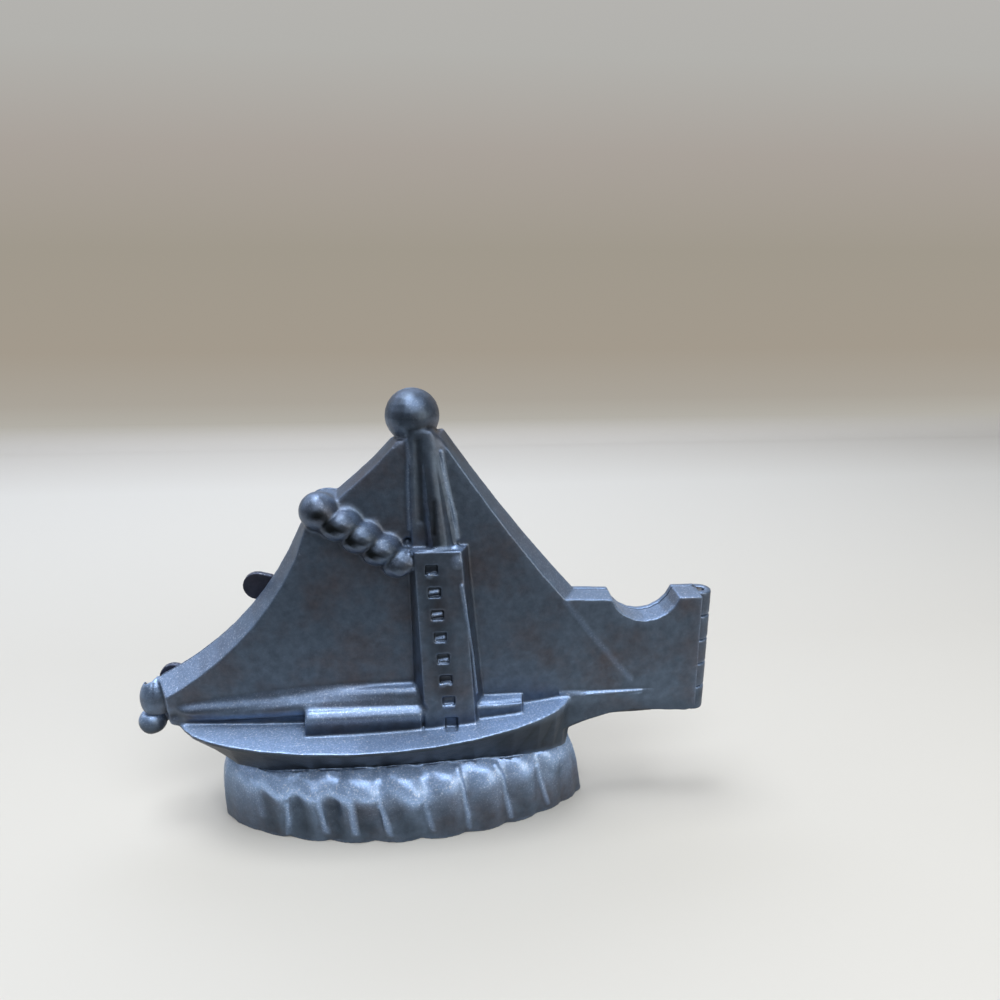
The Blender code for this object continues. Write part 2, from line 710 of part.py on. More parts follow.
def knuckle_reliefs(name, first):
    """Room for the other half's barrels."""
    radius = KNUCKLE_RADIUS + SWING_CLEARANCE
    return [post(f"{name}_{number}", HINGE_X, radius, low - SEAT_GAP, high + SEAT_GAP)
            for number, (low, high) in enumerate(knuckle_spans(first), 1)]


def parting_cut(name, side):
    """Block that removes whatever lies past the parting plane."""
    low = (BOW_PIN_X - BEYOND, -BEYOND, -BEYOND)
    high = (HINGE_X + BEYOND, PARTING_GAP / 2, BALL_CENTRE[2] + BEYOND)
    return block(name, low, high, side)


def bore(name, x):
    """Straight upright hole for a pin through everything at x."""
    return post(name, x, PIN_RADIUS + PIN_CLEARANCE, -BEYOND, BALL_CENTRE[2] + BEYOND, 16)


def bow_lug(name, clearance):
    """Egg-shaped upper bow lug of the front half, or the room that the back half leaves."""
    radii = [radius + clearance for radius in BOW_LUG_RADII]
    return egg(name, BOW_LUG_CENTRE, radii, FRONT)


def back_lug(name):
    """Lower bow lug, a ball with a flat top under the front half's lug."""
    centre_z = BOW_BALL_FOOT_Z + BOW_BALL_RADIUS
    lug = ball(name, (BOW_BALL_X, 0.0, centre_z), BOW_BALL_RADIUS, BACK, 24)
    arm = block(name + "_arm", (BOW_PIN_X, 0.0, centre_z - SEAT_GAP),
                (BOW_FOOT[0] + WALL, BOW_ARM_DEPTH, BOW_LUG_JOINT_Z - 2 * SEAT_GAP), BACK)
    return [lug, arm]


def build_front_half(material):
    plate = plate_outline()
    body = slab("front_half", plate.points, on_face(plate.inset(), 0.0), FRONT)
    combine(body, relief("front_relief", FRONT), "UNION")
    combine(body, ladder_windows("front_window", FRONT), "DIFFERENCE")
    combine(body, cavity("front_cavity", FRONT), "DIFFERENCE")
    combine(body, [parting_cut("front_parting", FRONT)], "DIFFERENCE")
    lower_room = post("front_lower_lug_room", BOW_BALL_X, BOW_BALL_RADIUS + SWING_CLEARANCE,
                      BOW_BALL_FOOT_Z - BOW_BALL_RADIUS, BOW_LUG_JOINT_Z)
    combine(body, knuckle_reliefs("front_knuckle_room", 0) + [lower_room], "DIFFERENCE")
    combine(body, knuckles("front_knuckle", 1, FRONT) + [bow_lug("front_lug", 0.0)], "UNION")
    half, reach, lug_top = PIN_RADIUS + PIN_CLEARANCE, BOW_LUG_RADII[0], BOW_LUG_RADII[2]
    left, right = BOW_LUG_CENTRE[0] - 2 * reach, BOW_LUG_CENTRE[0] + 2 * reach
    low, high = BOW_BALL_FOOT_Z - lug_top, BOW_LUG_CENTRE[2] + 2 * lug_top
    slot = block("front_slot", (BOW_PIN_X - half, 0.0, low), (BOW_PIN_X + half, reach, high),
                 BACK)
    lug_foot = block("front_lug_foot", (left, -reach, low),
                     (BOW_FOOT[0] + WALL, reach, BOW_LUG_JOINT_Z + SEAT_GAP / 2), FRONT)
    lug_back = block("front_lug_back", (left, BOW_LUG_BACK_DEPTH, low), (right, reach, high),
                     BACK)
    bores = [bore("front_hinge_bore", HINGE_X), bore("front_slot_bore", BOW_PIN_X)]
    combine(body, bores + [slot, lug_foot, lug_back], "DIFFERENCE")
    weld(body)
    body.data.materials.append(material)


def build_back_half(material):
    plate = plate_outline()
    sail = sail_outline()
    flange = at_depth(plate.inset(0.0, FLANGE_DRAFT / LUFF_DRAFT), FLANGE_DEPTH)
    body = slab("back_half", plate.points, flange, BACK)
    raised = slab("back_sail", sail.inset(FLANGE_WIDTH, 0.0),
                  on_face(sail.inset(FLANGE_WIDTH + RELIEF_DRAFT, 0.0), 0.0), BACK)
    combine(body, [raised] + relief("back_relief", BACK), "UNION")
    combine(body, ladder_windows("back_window", BACK), "DIFFERENCE")
    combine(body, cavity("back_cavity", BACK), "DIFFERENCE")
    combine(body, [parting_cut("back_parting", BACK)], "DIFFERENCE")
    upper_room = bow_lug("back_upper_lug_room", SWING_CLEARANCE)
    combine(body, knuckle_reliefs("back_knuckle_room", 1) + [upper_room], "DIFFERENCE")
    combine(body, knuckles("back_knuckle", 0, BACK) + back_lug("back_lug"), "UNION")
    reach = 2 * BOW_BALL_RADIUS
    joint_z = BOW_LUG_JOINT_Z - SEAT_GAP / 2
    trim = block("back_lug_trim", (BOW_BALL_X - reach, -reach, joint_z),
                 (BOW_PIN_X + PIN_RADIUS + WALL, reach, joint_z + BOW_BALL_RADIUS), BACK)
    bores = [bore("back_hinge_bore", HINGE_X), bore("back_pin_bore", BOW_PIN_X)]
    combine(body, [trim] + bores, "DIFFERENCE")
    weld(body)
    body.data.materials.append(material)


def weld(item):
    """Closes up the slivers left where shapes nearly meet."""
    step = item.modifiers.new("weld", "WELD")
    step.merge_threshold = WELD_DISTANCE * MM


def build_pin(name, x, z_low, z_high, material):
    """Loose wire pin whose origin lies on its own axis."""
    bm = bmesh.new()
    length = z_high - z_low
    at = Matrix.Translation((0.0, 0.0, length * MM / 2))
    bmesh.ops.create_cone(bm, cap_ends=True, segments=16, radius1=PIN_RADIUS * MM,
                          radius2=PIN_RADIUS * MM, depth=length * MM, matrix=at)
    rims = [edge for edge in bm.edges if edge.calc_face_angle(0.0) > math.radians(PIN_RIM_DEGREES)]
    bmesh.ops.bevel(bm, geom=rims, offset=PIN_ROUNDING * MM, segments=2, profile=0.5,
                    affect="EDGES", material=-1)
    pin = add_object(name, bm, True)
    pin.location = place((x, 0.0, z_low), 1)
    pin.data.materials.append(material)


def build_tab(name, centre, degrees, length, material):
    """Flat tongue with a round outer end, soldered behind the flange."""
    turn = math.radians(degrees)
    out = Vector((math.cos(turn), math.sin(turn)))
    across = Vector((-out.y, out.x))
    arc = round_arc((0.0, 0.0), TAB_RADIUS, -90.0, 90.0, 10)
    half = TAB_RADIUS - TAB_TAPER * length
    local = [(-length, -half)] + [tuple(point) for point in arc] + [(-length, half)]
    outline = [Vector(centre) + out * along + across * side for along, side in local]
    near = FLANGE_DEPTH + SEAT_GAP
    rings = [at_depth(outline, near), at_depth(outline, near + TAB_THICKNESS)]
    tab = loft(name, rings, BACK, True)
    tab.data.materials.append(material)


frame = None


def build():
    global frame
    clear_scene()
    frame = bpy.data.objects.new("mould_centre", None)
    bpy.context.scene.collection.objects.link(frame)
    right = HINGE_X + KNUCKLE_RADIUS
    left = BOW_BALL_X - BOW_BALL_RADIUS
    frame.location = (-(right + left) / 2 * MM, 0.0, 0.0)
    dull = pewter("cast_pewter", (0.20, 0.23, 0.30), 0.5)
    bright = pewter("pin_steel", (0.30, 0.31, 0.33), 0.4)
    dark = pewter("tab_pewter", (0.06, 0.065, 0.09), 0.55)
    build_front_half(dull)
    build_back_half(dull)
    build_pin("hinge_pin", HINGE_X, HINGE_FOOT_Z + HINGE_PIN_FOOT_SINK,
              HINGE_TOP_Z - PIN_TOP_SINK, bright)
    build_pin("bow_pin", BOW_PIN_X, BOW_BALL_FOOT_Z + BOW_PIN_FOOT_SINK, BOW_PIN_TOP_Z, bright)
    build_tab("upper_pry_tab", UPPER_TAB_CENTRE, UPPER_TAB_DEGREES, UPPER_TAB_LENGTH, dark)
    build_tab("lower_pry_tab", LOWER_TAB_CENTRE, LOWER_TAB_DEGREES, LOWER_TAB_LENGTH, dark)


build()
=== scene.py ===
import math

import bmesh
import bpy
import numpy as np
from mathutils import Matrix, Vector


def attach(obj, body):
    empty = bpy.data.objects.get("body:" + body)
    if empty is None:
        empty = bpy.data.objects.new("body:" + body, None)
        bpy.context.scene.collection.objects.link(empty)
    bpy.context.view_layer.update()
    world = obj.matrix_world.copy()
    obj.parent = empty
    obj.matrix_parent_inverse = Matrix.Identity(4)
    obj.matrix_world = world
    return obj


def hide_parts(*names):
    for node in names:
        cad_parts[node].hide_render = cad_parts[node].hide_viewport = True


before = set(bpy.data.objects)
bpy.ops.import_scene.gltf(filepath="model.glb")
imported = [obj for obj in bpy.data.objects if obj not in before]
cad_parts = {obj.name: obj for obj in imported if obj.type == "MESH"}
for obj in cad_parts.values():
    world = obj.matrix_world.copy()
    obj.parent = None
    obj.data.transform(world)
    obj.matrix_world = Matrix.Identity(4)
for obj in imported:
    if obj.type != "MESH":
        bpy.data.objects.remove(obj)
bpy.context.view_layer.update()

# Lengths are in millimetres; places on the boat are (x, depth, z) with depth measured away
# from the parting plane, and the boat's own x starts this far along the frame's x.
MM = 0.001
BOAT_X = -7.75
FRONT, BACK = -1, 1
VOXEL = 0.26
TAB_VOXEL = 0.2
MOST_TRIANGLES = 170000
SKIN_PITCH, SKIN_DEPTH = 2.4, 0.09
RELAX_ROUNDS, RELAX_SHARE = 32, 0.6
BEND_ROUNDS = 10


def colour(code):
    """Linear colour of an sRGB hex value."""
    parts = [int(code[i:i + 2], 16) / 255 for i in (1, 3, 5)]
    return [c / 12.92 if c <= 0.04045 else ((c + 0.055) / 1.055) ** 2.4 for c in parts] + [1.0]


def place(point, side=FRONT):
    """Place in metres of a point (x, depth, z) of the boat."""
    x, depth, z = point
    return Vector((x + BOAT_X, depth * side, z)) * MM


def add(tree, kind, inputs=None, stops=None, **settings):
    """Adds a node: its settings, then a value or an output socket for each of its inputs."""
    made = tree.nodes.new(kind)
    for name, value in settings.items():
        setattr(made, name, value)
    for key, value in (inputs or {}).items():
        if isinstance(value, bpy.types.NodeSocket):
            tree.links.new(value, made.inputs[key])
        else:
            made.inputs[key].default_value = value
    if stops:
        ramp = made.color_ramp
        while len(ramp.elements) < len(stops):
            ramp.elements.new(0.5)
        for element, (position, shade) in zip(ramp.elements, stops):
            element.position, element.color = position, shade
    return made


def new_material(name):
    """Material without nodes, and its node tree."""
    material = bpy.data.materials.new(name)
    material.use_nodes = True
    material.node_tree.nodes.clear()
    return material, material.node_tree


def cast_metal(name, slate, earth, bright, rough):
    """Old pewter cast in a rough mould and dulled by years of use: dark slate faces with brownish
    clouds a fingertip wide. Up-facing ledges, ridges and wave tops get a paler blue-grey: painted
    highlight of the light from above, with some real wear on edges, and a few grains painted near
    white as glints. Creases and undersides get a near black: painted shade, with grime in the
    creases. The grains of the casting sand are drawn coarser than real ones, to show."""
    material, tree = new_material(name)
    place_on = add(tree, "ShaderNodeTexCoord").outputs["Object"]
    clouds = add(tree, "ShaderNodeTexNoise", {"Vector": place_on, "Scale": 1 / (11 * MM),
                                              "Detail": 5.0, "Roughness": 0.6}).outputs["Fac"]
    patch = add(tree, "ShaderNodeMapRange", {"Value": clouds, "From Min": 0.44,
                                             "From Max": 0.70}).outputs["Result"]
    mottle = add(tree, "ShaderNodeTexNoise", {"Vector": place_on, "Scale": 1 / (1.8 * MM),
                                              "Detail": 4.0, "Roughness": 0.65}).outputs["Fac"]
    grain = add(tree, "ShaderNodeTexNoise", {"Vector": place_on, "Scale": 1 / (0.42 * MM),
                                             "Detail": 3.0, "Roughness": 0.75}).outputs["Fac"]
    # Shares of painted highlight with wear, and of painted shade with grime, written on each
    # point
    wear_and_highlight = add(tree, "ShaderNodeAttribute", attribute_name="wear_and_highlight").outputs["Fac"]
    grime_and_shade = add(tree, "ShaderNodeAttribute", attribute_name="grime_and_shade").outputs["Fac"]
    base = add(tree, "ShaderNodeMix", {"Factor": patch, "A": colour(slate), "B": colour(earth)},
               data_type="RGBA").outputs["Result"]
    shade = add(tree, "ShaderNodeMapRange", {"Value": mottle, "From Min": 0.3, "From Max": 0.7,
                                             "To Min": 0.82, "To Max": 1.18}).outputs["Result"]
    toned = add(tree, "ShaderNodeVectorMath", {0: base, 1: shade},
                operation="MULTIPLY").outputs["Vector"]
    # Painted highlight: the pale blue-grey mixed in by the highlight share, broken by the grains
    speck = add(tree, "ShaderNodeMapRange", {"Value": grain, "From Min": 0.38, "From Max": 0.62,
                                             "To Min": 0.72, "To Max": 1.02}).outputs["Result"]
    lit_and_worn = add(tree, "ShaderNodeMath", {0: wear_and_highlight, 1: speck}, operation="MULTIPLY",
               use_clamp=True).outputs["Value"]
    highlit_and_worn = add(tree, "ShaderNodeMix", {"Factor": lit_and_worn, "A": toned, "B": colour(bright)},
                   data_type="RGBA").outputs["Result"]
    # Painted glints: a few grains turned near white where highlight is painted
    spark = add(tree, "ShaderNodeMapRange", {"Value": grain, "From Min": 0.57,
                                             "From Max": 0.66}).outputs["Result"]
    glint = add(tree, "ShaderNodeMath", {0: wear_and_highlight, 1: spark}, operation="MULTIPLY",
                use_clamp=True).outputs["Value"]
    sparkling = add(tree, "ShaderNodeMix", {"Factor": glint, "A": highlit_and_worn,
                                            "B": colour("#E4EDFA")},
                    data_type="RGBA").outputs["Result"]
    # Painted shade: a near black mixed in by the shade share, also standing for grime in creases
    shaded_and_grimed = add(tree, "ShaderNodeMix", {"Factor": grime_and_shade, "A": sparkling,
                                         "B": colour("#1B2024")},
                 data_type="RGBA").outputs["Result"]
    gloss = add(tree, "ShaderNodeMapRange", {"Value": lit_and_worn, "To Min": rough,
                                             "To Max": rough - 0.14}).outputs["Result"]
    height = add(tree, "ShaderNodeMath", {0: grain, 1: 0.5, 2: mottle},
                 operation="MULTIPLY_ADD").outputs["Value"]
    bump = add(tree, "ShaderNodeBump", {"Strength": 0.3, "Distance": 0.22 * MM,
                                        "Height": height}).outputs["Normal"]
    bare = add(tree, "ShaderNodeMapRange", {"Value": lit_and_worn, "To Min": 0.88,
                                            "To Max": 0.35}).outputs["Result"]
    shader = add(tree, "ShaderNodeBsdfPrincipled",
                 {"Base Color": shaded_and_grimed, "Metallic": bare, "Roughness": gloss, "Normal": bump})
    add(tree, "ShaderNodeOutputMaterial", {"Surface": shader.outputs["BSDF"]})
    return material


def drawn_wire(name):
    """Soft steel wire drawn through a die and left to dull: fine lines along it, and brown
    spots about a millimetre wide. The lines are drawn coarser than real ones, to show."""
    material, tree = new_material(name)
    place_on = add(tree, "ShaderNodeTexCoord").outputs["Object"]
    along = add(tree, "ShaderNodeMapping", {"Vector": place_on, "Scale": (1.0, 1.0, 0.04)})
    lines = add(tree, "ShaderNodeTexNoise", {"Vector": along.outputs["Vector"],
                                             "Scale": 1 / (0.15 * MM),
                                             "Detail": 2.0}).outputs["Fac"]
    spots = add(tree, "ShaderNodeTexNoise", {"Vector": place_on, "Scale": 1 / (1.2 * MM),
                                             "Detail": 4.0}).outputs["Fac"]
    dull = add(tree, "ShaderNodeMapRange", {"Value": spots, "From Min": 0.45,
                                            "From Max": 0.65}).outputs["Result"]
    base = add(tree, "ShaderNodeMix", {"Factor": dull, "A": colour("#8D939C"),
                                       "B": colour("#544D4A")},
               data_type="RGBA").outputs["Result"]
    gloss = add(tree, "ShaderNodeMapRange", {"Value": dull, "To Min": 0.36,
                                             "To Max": 0.6}).outputs["Result"]
    bump = add(tree, "ShaderNodeBump", {"Strength": 0.3, "Distance": 0.03 * MM,
                                        "Height": lines}).outputs["Normal"]
    shader = add(tree, "ShaderNodeBsdfPrincipled",
                 {"Base Color": base, "Metallic": 1.0, "Roughness": gloss, "Normal": bump})
    add(tree, "ShaderNodeOutputMaterial", {"Surface": shader.outputs["BSDF"]})
    return material


def copy_of(node):
    """Merged copy of a CAD node's mesh."""
    bm = bmesh.new()
    bm.from_mesh(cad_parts[node].data)
    bmesh.ops.remove_doubles(bm, verts=bm.verts, dist=0.001 * MM)
    return bm


def stand_up(name, bm):
    """Object at the origin with its place in its mesh."""
    mesh = bpy.data.meshes.new(name)
    bm.to_mesh(mesh)
    bm.free()
    made = bpy.data.objects.new(name, mesh)
    bpy.context.scene.collection.objects.link(made)
    return made


def settle(made):
    """Applies an object's modifiers to its mesh."""
    graph = bpy.context.evaluated_depsgraph_get()
    mesh = bpy.data.meshes.new_from_object(made.evaluated_get(graph))
    old = made.data
    made.modifiers.clear()
    made.data = mesh
    bpy.data.meshes.remove(old)


def places_of(mesh):
    """Place of each vertex."""
    values = np.empty(len(mesh.vertices) * 3)
    mesh.vertices.foreach_get("co", values)
    return values.reshape(-1, 3)


def normals_of(mesh):
    """Direction in which the skin faces at each vertex."""
    values = np.empty(len(mesh.vertices) * 3)
    mesh.vertex_normals.foreach_get("vector", values)
    return values.reshape(-1, 3)


def edges_of(mesh):
    """The two vertices at the ends of each edge."""
    values = np.empty(len(mesh.edges) * 2, np.int64)
    mesh.edges.foreach_get("vertices", values)
    return values.reshape(-1, 2)


def neighbours_mean(values, edges):
    """Mean of the values at the ends of each vertex's edges."""
    count = np.bincount(edges.ravel(), minlength=len(values)).clip(1)
    total = np.zeros_like(values)
    for column in range(values.shape[1]):
        total[:, column] = (np.bincount(edges[:, 0], values[edges[:, 1], column], len(values))
                            + np.bincount(edges[:, 1], values[edges[:, 0], column], len(values)))
    return total / count[:, None]


# Strokes of the relief that are finer than the frame's shapes: the places that a stroke runs
# through, its half width, how far it lifts the skin, and how much painted highlight and wear it
# gets or, below zero, how much painted shade.

# Crests that run down the base between its waves, with painted highlight along them
WAVE_RIDGES = [
    ([(-25.8, 11.3, 13.1), (-24.9, 12.2, 11.1), (-24.8, 12.4, 6.4), (-25.3, 12.1, 1.0)],
     1.1, 0.45, 0.45),
    ([(-19.3, 12.9, 13.3), (-18.1, 14.1, 11.6), (-16.9, 14.8, 7.7), (-16.2, 14.4, 2.3)],
     1.2, 0.45, 0.45),
    ([(-11.6, 13.1, 14.3), (-10.7, 14.7, 12.5), (-10.1, 16.0, 9.0), (-9.5, 16.1, 2.6)],
     1.4, 0.5, 0.45),
    ([(-5.3, 14.2, 13.1), (-4.1, 14.8, 10.5), (-3.0, 15.9, 6.8), (-1.8, 16.4, 2.3)],
     1.2, 0.45, 0.4),
    ([(5.5, 14.5, 12.3), (6.3, 14.8, 9.3), (7.1, 15.8, 5.4), (8.0, 16.1, 2.6)], 1.1, 0.3, 0.15),
    ([(13.8, 11.4, 15.6), (14.4, 13.1, 13.7), (15.3, 14.2, 10.3), (16.1, 14.3, 5.0),
      (16.3, 14.3, 1.4)], 1.0, 0.4, 0.45),
    ([(22.7, 10.3, 15.1), (24.3, 11.3, 12.4), (25.0, 11.7, 8.6), (26.4, 12.0, 1.8)],
     1.0, 0.4, 0.4),
    ([(33.0, 7.8, 12.4), (33.7, 8.2, 9.0), (35.0, 8.6, 4.7), (35.8, 8.4, 2.0)], 0.9, 0.3, 0.35),
    ([(-32.6, 8.4, 13.6), (-32.0, 9.4, 10.0), (-31.4, 10.1, 5.1)], 1.5, 0.2, 0.1),
]
# Swelling tops of the waves, with painted highlight where light from above falls
WAVE_SHOULDERS = [
    ([(-35.4, 7.1, 13.6), (-33.6, 8.7, 12.0)], 3.7, 0.5, 0.25),
    ([(-30.2, 8.7, 15.2), (-26.5, 11.5, 12.3)], 4.6, 1.2, 1.3),
    ([(-22.6, 10.5, 15.4), (-19.4, 13.2, 12.7)], 4.4, 1.2, 1.3),
    ([(-15.3, 11.4, 15.6), (-12.0, 13.9, 12.8)], 4.4, 1.2, 1.2),
    ([(-9.1, 12.3, 15.6), (-5.8, 15.0, 12.5)], 4.4, 1.1, 1.1),
    ([(-1.2, 12.6, 15.6), (2.2, 14.3, 14.0), (4.7, 15.3, 11.6)], 4.6, 1.2, 1.1),
    ([(8.2, 12.2, 15.6), (11.8, 13.2, 14.2)], 4.4, 0.9, 0.85),
    ([(16.8, 10.6, 15.6), (20.8, 11.7, 14.0)], 4.4, 0.8, 0.65),
    ([(25.8, 8.3, 15.7), (30.0, 9.2, 13.6)], 4.4, 0.8, 0.65),
    ([(35.2, 6.0, 15.0), (38.1, 4.9, 12.5)], 3.9, 0.7, 0.35),
]
# Hollows below the swelling tops, with painted shade
WAVE_HOLLOWS = [
    ([(-29.6, 11.0, 8.0), (-28.9, 11.6, 2.6)], 4.0, -0.7, -0.35),
    ([(-22.0, 13.3, 8.4), (-21.2, 14.1, 2.6)], 3.8, -0.7, -0.5),
    ([(-14.6, 14.2, 8.6), (-13.6, 15.3, 2.6)], 3.8, -0.7, -0.5),
    ([(-7.8, 15.8, 8.2), (-6.7, 15.9, 2.6)], 3.6, -0.7, -0.5),
    ([(0.4, 16.2, 7.6), (2.6, 16.6, 2.6)], 4.2, -0.7, -0.5),
    ([(10.8, 15.8, 7.4), (11.6, 16.2, 2.8)], 4.2, -0.6, -0.35),
    ([(19.6, 14.0, 7.4), (20.5, 14.4, 2.8)], 4.0, -0.6, -0.3),
    ([(28.4, 11.3, 7.4), (29.7, 11.5, 2.8)], 4.0, -0.6, -0.3),
]
# Border ridges and grooves of mast and ladder with painted highlight on ridges and window sills,
# and painted shade on their fronts
RIG = [
    ([(4.7, 4.7, 92.5), (5.0, 5.4, 87.9), (4.6, 5.4, 82.4), (4.6, 5.5, 76.9),
      (4.7, 5.7, 72.2)], 0.8, 0.3, 0.3),
    ([(6.9, 5.9, 91.6), (7.0, 6.1, 82.8), (7.1, 6.3, 74.4)], 1.3, -0.25, -0.3),
    ([(10.0, 7.6, 78.7), (9.9, 8.2, 71.7)], 0.8, -0.2, -0.2),
    ([(8.5, 9.0, 90.0), (10.0, 9.5, 70.5)], 5.2, 0.0, -0.75),
    ([(11.8, 5.2, 89.0), (12.5, 5.4, 83.6), (13.3, 5.5, 79.6), (14.3, 5.6, 75.1),
      (15.0, 5.7, 69.8)], 0.8, 0.3, 0.3),
    ([(5.1, 8.3, 67.5), (9.6, 8.8, 68.2), (14.6, 7.6, 68.2)], 1.0, 0.45, 0.5),
    ([(14.8, 7.6, 68.2)], 1.6, 0.4, 0.3),
    ([(14.7, 9.9, 65.7)], 2.0, 0.4, 0.2),
    ([(15.6, 10.1, 60.3), (16.6, 10.3, 53.3), (17.9, 9.2, 42.9), (18.7, 9.3, 33.9)],
     0.7, 0.35, 0.35),
    ([(5.4, 7.8, 64.0), (6.8, 9.5, 33.0)], 2.2, 0.0, -0.5),
    ([(9.1, 9.0, 63.9), (11.7, 11.0, 35.7)], 4.0, 0.0, -0.5),
    ([(4.1, 5.7, 69.4)], 1.1, -1.2, -0.6),
    ([(8.5, 9.9, 62.9), (9.8, 9.2, 62.9)], 0.7, 0.6, 1.0),
    ([(8.5, 9.2, 58.5), (10.3, 9.2, 58.8)], 0.7, 0.55, 1.0),
    ([(9.1, 9.4, 53.3), (11.0, 9.4, 53.6)], 0.7, 0.55, 1.0),
    ([(9.5, 9.6, 47.5), (11.5, 9.6, 47.9)], 0.7, 0.55, 1.0),
    ([(10.1, 9.8, 42.2), (12.2, 9.8, 42.6)], 0.7, 0.55, 1.0),
    ([(10.6, 10.7, 36.9), (12.6, 10.2, 36.9)], 0.7, 0.55, 1.0),
    ([(11.4, 11.1, 31.7), (13.2, 10.8, 31.7)], 0.7, 0.55, 0.8),
]
# Painted highlights on the balls at masthead and boom, and painted shade on the rest of their
# skin
BALLS = [
    ([(5.6, 4.4, 99.6), (7.4, 4.2, 99.6)], 2.0, 0.0, 0.3),
    ([(4.0, 5.0, 94.6), (8.0, 5.0, 94.6)], 3.6, 0.0, -0.4),
    ([(6.0, 5.0, 97.0)], 7.0, 0.0, -0.45),
    ([(-14.0, 11.0, 76.5), (2.5, 11.0, 66.5)], 6.8, 0.0, -0.6),
    ([(-14.7, 7.4, 80.2), (-13.6, 6.8, 80.4), (-12.0, 6.8, 79.5)], 2.4, 0.1, 0.06),
    ([(-11.5, 7.9, 77.2), (-9.6, 6.8, 77.0), (-8.0, 5.5, 77.3)], 1.8, 0.1, 0.06),
    ([(-6.4, 8.6, 74.6), (-4.5, 7.4, 73.9), (-2.9, 5.6, 74.0)], 1.8, 0.1, 0.06),
    ([(-1.8, 8.3, 70.6), (0.1, 7.7, 70.8), (1.3, 5.7, 70.9)], 1.6, 0.1, 0.06),
    ([(2.3, 8.0, 67.8), (3.6, 7.1, 68.2)], 1.3, 0.1, 0.06),
    ([(-14.1, 9.2, 76.3), (-11.7, 9.9, 73.8), (-7.4, 9.9, 70.2), (-2.5, 10.0, 66.9)],
     2.4, 0.0, -0.6),
]
# Rounded coaming, stern box, rail and deck: painted shade on coaming, rail and deck, painted
# highlight on coaming edge, stern box and stern tip
DECK_WORK = [
    ([(-20.0, 11.4, 31.2), (6.4, 11.4, 31.2)], 1.6, -0.3, -0.45),
    ([(-19.1, 11.3, 29.6), (-7.7, 11.3, 29.2), (5.5, 11.3, 29.2)], 1.2, 0.0, 0.25),
    ([(-19.8, 12.2, 27.4), (6.0, 12.2, 27.6)], 2.4, 0.0, -0.4),
    ([(19.6, 9.9, 31.1), (24.0, 9.9, 31.1), (28.2, 9.3, 31.2)], 1.3, -0.4, 0.3),
    ([(-47.3, 7.4, 31.0), (-39.0, 7.0, 32.2), (-30.2, 6.7, 33.2), (-21.3, 6.7, 34.0),
      (-12.3, 7.0, 34.4), (-3.2, 7.9, 34.8), (4.0, 8.5, 34.6)], 2.0, 0.4, -0.5),
    ([(-44.5, 7.7, 29.3), (-32.5, 7.8, 28.9), (-21.3, 8.5, 29.7)], 1.0, -0.25, -0.2),
    ([(-4.9, 14.7, 25.3), (1.2, 14.7, 25.5), (10.1, 14.7, 26.0)], 5.0, 0.0, -0.3),
    ([(37.1, 8.9, 29.0), (39.2, 7.5, 29.4)], 2.4, 0.0, 0.5),
]
# Bow groove with painted shade, tail ridges with painted highlight, and the hinge barrel painted
# dark as shade
EDGES = [
    ([(-54.6, 1.8, 35.5), (-54.4, 3.2, 31.9)], 0.7, -0.4, -0.3),
    ([(-53.1, 2.4, 28.5), (-48.6, 7.6, 30.4), (-46.0, 7.7, 29.6)], 1.5, -0.3, -0.3),
    ([(39.6, 6.1, 53.6), (45.1, 6.3, 46.3), (50.5, 6.5, 39.5), (55.0, 6.7, 34.1)],
     1.2, 0.1, 0.12),
    ([(38.4, 6.7, 31.1), (47.9, 6.7, 30.6), (57.5, 6.8, 30.5)], 0.9, 0.2, 0.4),
    ([(73.6, 0.0, 28.0), (73.6, 0.0, 56.0)], 5.0, 0.0, -0.5),
]
WAVES = WAVE_HOLLOWS + WAVE_SHOULDERS
RELIEF = WAVE_RIDGES + RIG + BALLS + DECK_WORK + EDGES

# Lines along which neighbouring shapes flow into one another, with the reach of each
BLENDS = [
    ([(-14.4, 4.6, 76.4)], 6.6),
    ([(-9.5, 5.5, 77.0), (-4.6, 6.0, 74.2), (0.4, 6.0, 70.9)], 4.5),
    ([(6.5, 5.0, 91.0)], 5.0),
    ([(10.5, 5.5, 92.0)], 4.0),
    ([(-50.0, 4.5, 27.2)], 4.0),
    ([(-47.5, 7.4, 30.2), (-30.0, 7.8, 31.8), (-12.0, 8.2, 33.4), (4.5, 8.6, 33.8)], 3.4),
    ([(-19.5, 11.0, 31.0), (6.0, 11.0, 31.0)], 1.8),
    ([(40.4, 7.2, 28.0), (40.4, 7.2, 25.0)], 4.5),
]

# The backdrop, in metres, and its tones from the near edge to the wall and up the wall: painted
# light and shade on the table, and painted light on the self-glowing wall
WALL_Y = 0.46
WALL_HEIGHT = 1.2
COVE = 0.04
TABLE_EDGE_Y = -0.085
TABLE_TONES_FROM_Y = 0.08
WALL_TONES_HEIGHT = 0.40
GLOW_RISE = 0.016
TABLE_TONES = [(0.0, colour("#DAD9D3")), (0.58, colour("#E8E9E6")), (0.86, colour("#E1E1DE")),
               (1.0, colour("#D2D0CC"))]
WALL_TONES = [(0.0, colour("#BBB9B5")), (0.036, colour("#B3B0A8")), (0.078, colour("#AAA49A")),
              (0.18, colour("#A39A8D")), (0.375, colour("#A0998D")), (0.553, colour("#A9A29B")),
              (0.72, colour("#B2B1AD")), (1.0, colour("#B9B7B5"))]


def distance(points, path):
    """Distance of each point from a line through the path's places."""
    nearest = np.full(len(points), np.inf)
    for start, end in zip(path, path[1:] if len(path) > 1 else path):
        along = end - start
        share = np.clip((points - start) @ along / max(along @ along, 1e-12), 0, 1)
        gap = points - start - share[:, None] * along
        nearest = np.minimum(nearest, np.sqrt((gap * gap).sum(1)))
    return nearest


